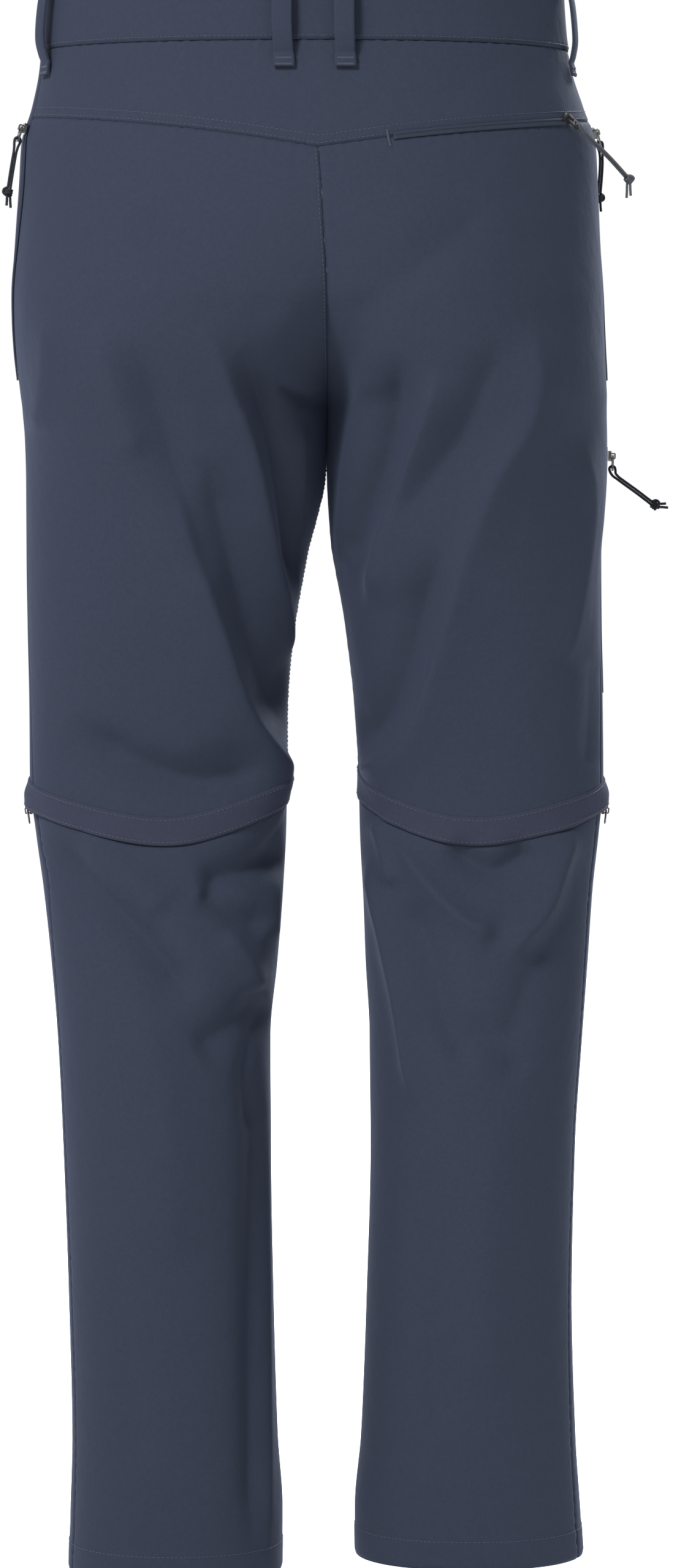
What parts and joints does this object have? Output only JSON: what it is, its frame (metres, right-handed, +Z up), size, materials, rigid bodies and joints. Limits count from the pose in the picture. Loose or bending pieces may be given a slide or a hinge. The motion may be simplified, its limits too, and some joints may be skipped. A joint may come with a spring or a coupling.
{
  "type": "convertible zip-off trousers",
  "caption": "Hollow cloth trousers in worn-out form, open at waist and hems, with covered zips round both knees, zipped pockets with cord pulls, belt loops and a buttoned band.",
  "frame": {"origin": "middle of the waist opening, at half the waistband's height", "axes": "+Z up, the front faces -Y, +X towards the wearer's left"},
  "size_m": [0.4437, 0.2651, 1.0612],
  "materials": {
    "slate_cloth": "matt woven stretch cloth, slate blue",
    "band_cloth": "matt woven cloth, slightly greyer slate",
    "zip_black": "black coil zip and tape",
    "metal_black": "black enamel",
    "cord_grey": "dark grey round cord",
    "button_dark": "dark four-hole button"
  },
  "bodies": {
    "garment": {"back_pocket_slider": "metal_black", "hand_left_slider": "metal_black", "hand_right_slider": "metal_black", "thigh_pocket_slider": "metal_black", "waistband": "slate_cloth", "yoke_back": "slate_cloth", "back_panel_left": "slate_cloth", "front_panel_left": "slate_cloth", "lower_back_left": "slate_cloth", "lower_front_left": "slate_cloth", "zip_cover_left": "band_cloth", "knee_zip_left": "zip_black", "loop_back_left": "slate_cloth", "loop_side_left": "slate_cloth", "loop_front_left": "slate_cloth", "back_panel_right": "slate_cloth", "front_panel_right": "slate_cloth", "lower_back_right": "slate_cloth", "lower_front_right": "slate_cloth", "zip_cover_right": "band_cloth", "knee_zip_right": "zip_black", "loop_back_right": "slate_cloth", "loop_side_right": "slate_cloth", "loop_front_right": "slate_cloth", "fly_lap": "slate_cloth", "waist_button": "button_dark", "back_pocket_zip": "zip_black", "hand_zip_left": "zip_black", "hand_zip_right": "zip_black", "thigh_pocket_zip": "zip_black", "knee_slider_left": "metal_black", "knee_slider_right": "metal_black"},
    "back_pull": {"back_pocket_tab": "metal_black", "back_pocket_cord": "cord_grey", "back_pocket_knot": "cord_grey"},
    "hand_pull_left": {"hand_left_tab": "metal_black", "hand_left_cord": "cord_grey", "hand_left_knot": "cord_grey"},
    "hand_pull_right": {"hand_right_tab": "metal_black", "hand_right_cord": "cord_grey", "hand_right_knot": "cord_grey"},
    "thigh_pull": {"thigh_pocket_tab": "metal_black", "thigh_pocket_cord": "cord_grey", "thigh_pocket_knot": "cord_grey"},
    "knee_ring_left": {"knee_pull_left": "metal_black"},
    "knee_ring_right": {"knee_pull_right": "metal_black"}
  },
  "joints": [
    {"name": "back_pull_swing", "type": "hinge", "parent": "garment", "child": "back_pull", "pos_m": [-0.16267, 0.06864, -0.07472], "axis": [0.1975, 0.7051, -0.6811], "range_deg": [0, 110]},
    {"name": "hand_pull_left_swing", "type": "hinge", "parent": "garment", "child": "hand_pull_left", "pos_m": [0.19413, 0.03574, -0.07951], "axis": [0.3186, -0.9456, -0.0664], "range_deg": [0, 110]},
    {"name": "hand_pull_right_swing", "type": "hinge", "parent": "garment", "child": "hand_pull_right", "pos_m": [-0.18481, -0.01474, -0.07948], "axis": [-0.2267, 0.9235, -0.3095], "range_deg": [0, 110]},
    {"name": "thigh_pull_swing", "type": "hinge", "parent": "garment", "child": "thigh_pull", "pos_m": [-0.19607, -0.01302, -0.29408], "axis": [-0.0569, 0.9984, 0], "range_deg": [0, 110]},
    {"name": "knee_ring_left_swing", "type": "hinge", "parent": "garment", "child": "knee_ring_left", "pos_m": [0.19389, 0.00288, -0.53002], "axis": [0.046, -0.9989, 0], "range_deg": [0, 120]},
    {"name": "knee_ring_right_swing", "type": "hinge", "parent": "garment", "child": "knee_ring_right", "pos_m": [-0.19193, 0.00267, -0.52991], "axis": [0.0414, 0.9991, 0], "range_deg": [0, 120]}
  ]
}
